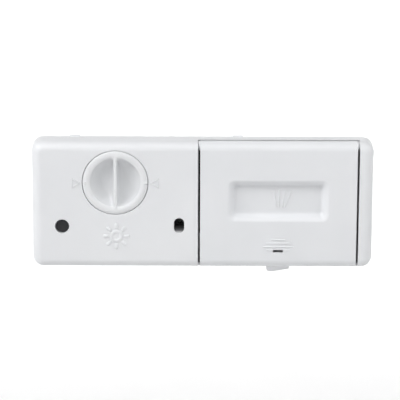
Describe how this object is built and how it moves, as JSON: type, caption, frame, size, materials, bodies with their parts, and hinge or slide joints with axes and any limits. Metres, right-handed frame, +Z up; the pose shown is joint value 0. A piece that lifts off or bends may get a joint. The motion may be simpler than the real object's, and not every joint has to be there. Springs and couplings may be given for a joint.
{
  "type": "dishwasher detergent dispenser",
  "caption": "Built-in dishwasher dispenser: detergent cup with a latched flap lid, rinse-aid tank with a bayonet cap, and the wax motor and rocker behind them that work both.",
  "frame": {"origin": "middle of the flat pad behind the panel, in the plane in which the door's inner panel lies", "axes": "+X to the right seen from the wash tub, +Z up, +Y from the wash tub into the door, so the face looks along -Y"},
  "size_m": [0.242, 0.0568, 0.0982],
  "materials": {
    "white_plastic": "fine satin, moulded polypropylene",
    "natural_plastic": "satin, unpigmented polypropylene",
    "dark_plastic": "satin",
    "dark_gloss": "gloss, smoked clear plastic",
    "black_rubber": "matte",
    "grey_rubber": "matte",
    "steel": "satin stainless",
    "plated_brass": "tin-plated spade blade"
  },
  "bodies": {
    "housing": {"front_housing": "white_plastic", "detergent_cup": "white_plastic", "mechanism_cover": "white_plastic", "rinse_tank": "natural_plastic", "dosing_body": "natural_plastic", "outlet_nozzle": "dark_plastic", "wax_motor": "dark_plastic", "sight_lens": "dark_gloss", "door_gasket": "black_rubber", "cup_gasket": "black_rubber", "hinge_rod": "steel", "lid_spring_left": "steel", "lid_spring_right": "steel", "piston_spring": "steel", "latch_spring": "steel", "rocker_pin": "steel", "rocker_clip": "steel", "motor_screw_1": "steel", "motor_screw_2": "steel", "cover_screw_1": "steel", "cover_screw_2": "steel", "cover_screw_3": "steel", "cover_screw_4": "steel", "clamp_screw_1": "steel", "clamp_screw_2": "steel", "clamp_screw_3": "steel", "clamp_screw_4": "steel", "clamp_left": "steel", "clamp_right": "steel", "terminal_lower": "plated_brass", "terminal_upper": "plated_brass"},
    "lid": {"detergent_lid": "white_plastic", "lid_seal": "grey_rubber"},
    "cap_ring": {"cap_seal": "black_rubber"},
    "cap": {"rinse_cap": "white_plastic"},
    "dial": {"dose_dial": "natural_plastic"},
    "plunger": {"motor_plunger": "white_plastic"},
    "rocker": {"drive_rocker": "natural_plastic"},
    "piston": {"dosing_piston": "white_plastic", "piston_seal": "black_rubber"},
    "latch": {"latch_slider": "white_plastic"}
  },
  "joints": [
    {"name": "lid_hinge", "type": "hinge", "parent": "housing", "child": "lid", "pos_m": [0.0535, -0.013, 0.0425], "axis": [-1, 0, 0], "range_deg": [0, 95], "deforming": ["lid_spring_left", "lid_spring_right"]},
    {"name": "cap_lift", "type": "slide", "parent": "housing", "child": "cap_ring", "axis": [0, -1, 0], "range_m": [0, 0.05]},
    {"name": "cap_turn", "type": "hinge", "parent": "cap_ring", "child": "cap", "pos_m": [-0.0614, -0.014, 0.0167], "axis": [0, 1, 0], "range_deg": [0, 90]},
    {"name": "dial_turn", "type": "hinge", "parent": "housing", "child": "dial", "pos_m": [-0.0614, -0.003, 0.0167], "axis": [0, 1, 0], "range_deg": [-75, 75]},
    {"name": "plunger_slide", "type": "slide", "parent": "housing", "child": "plunger", "axis": [-1, 0, 0], "range_m": [0, 0.0027], "stiffness_N_per_m": 500},
    {"name": "rocker_pivot", "type": "hinge", "parent": "housing", "child": "rocker", "pos_m": [0.034, 0.0155, -0.01], "axis": [0, -1, 0], "range_deg": [0, 4.4]},
    {"name": "piston_slide", "type": "slide", "parent": "housing", "child": "piston", "axis": [0, 0, -1], "range_m": [0, 0.0039], "deforming": ["piston_spring"]},
    {"name": "latch_slide", "type": "slide", "parent": "housing", "child": "latch", "axis": [0, 0, 1], "range_m": [0, 0.00215], "deforming": ["latch_spring"]}
  ],
  "couplings": [
    {"joint": "rocker_pivot", "follows": "plunger_slide", "rad_per_m": 28.169},
    {"joint": "piston_slide", "follows": "plunger_slide", "ratio": 1.4366},
    {"joint": "latch_slide", "follows": "plunger_slide", "ratio": 0.7887}
  ]
}
